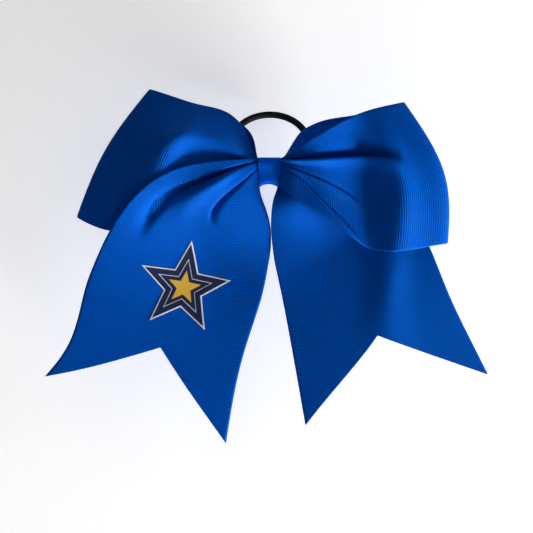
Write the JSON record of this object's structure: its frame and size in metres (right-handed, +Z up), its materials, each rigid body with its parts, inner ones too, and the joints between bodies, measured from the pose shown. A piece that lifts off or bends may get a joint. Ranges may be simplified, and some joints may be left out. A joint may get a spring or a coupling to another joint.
{
  "type": "cheer hair bow",
  "caption": "Wide grosgrain ribbon bow with two standing loops, two swallow-tailed tails, a narrow centre wrap and a hair elastic, with a star in heat-pressed film.",
  "frame": {"origin": "the middle of the gathered knot, inside the centre wrap", "axes": "+X to the right seen from the front, +Y out of the back of the bow towards the head, +Z up as the bow is worn"},
  "size_m": [0.1766, 0.0428, 0.1413],
  "materials": {
    "ribbon": "satin",
    "wrap_ribbon": "satin",
    "thread": "matte",
    "glue": "translucent",
    "elastic_braid": "matte",
    "elastic_rubber": "matte",
    "film_white": "satin",
    "film_navy": "satin",
    "film_gold": "satin"
  },
  "bodies": {
    "knot": {"gathers_front": "ribbon", "gathers_middle": "ribbon", "gathers_back": "ribbon", "cinch_thread": "thread", "center_wrap": "wrap_ribbon", "wrap_glue": "glue"},
    "left_tail": {"tail_left": "ribbon", "emblem_outline": "film_white", "emblem_fill": "film_navy", "emblem_accent": "film_gold"},
    "right_tail": {"tail_right": "ribbon"},
    "left_loop": {"loop_left": "ribbon"},
    "right_loop": {"loop_right": "ribbon"},
    "hair_elastic": {"elastic_cover": "elastic_braid", "elastic_core": "elastic_rubber", "elastic_join": "elastic_braid"}
  },
  "joints": [
    {"name": "tail_left_lift", "type": "hinge", "parent": "knot", "child": "left_tail", "pos_m": [-0.0063, -0.0036, 0.0042], "axis": [-1, 0, 0], "range_deg": [-3, 45], "stiffness_Nm_per_rad": 0.003},
    {"name": "tail_right_lift", "type": "hinge", "parent": "knot", "child": "right_tail", "pos_m": [0.0063, 0, 0], "axis": [-1, 0, 0], "range_deg": [-8, 8], "stiffness_Nm_per_rad": 0.003},
    {"name": "loop_left_droop", "type": "hinge", "parent": "knot", "child": "left_loop", "pos_m": [-0.0063, 0, 0], "axis": [0, -1, 0], "range_deg": [-6, 12], "stiffness_Nm_per_rad": 0.01},
    {"name": "loop_right_droop", "type": "hinge", "parent": "knot", "child": "right_loop", "pos_m": [0.0063, 0, 0], "axis": [0, 1, 0], "range_deg": [-6, 4], "stiffness_Nm_per_rad": 0.01},
    {"name": "elastic_swing", "type": "hinge", "parent": "knot", "child": "hair_elastic", "pos_m": [0, 0.0082, 0], "axis": [-1, 0, 0], "range_deg": [-15, 110], "stiffness_Nm_per_rad": 0.0002}
  ]
}
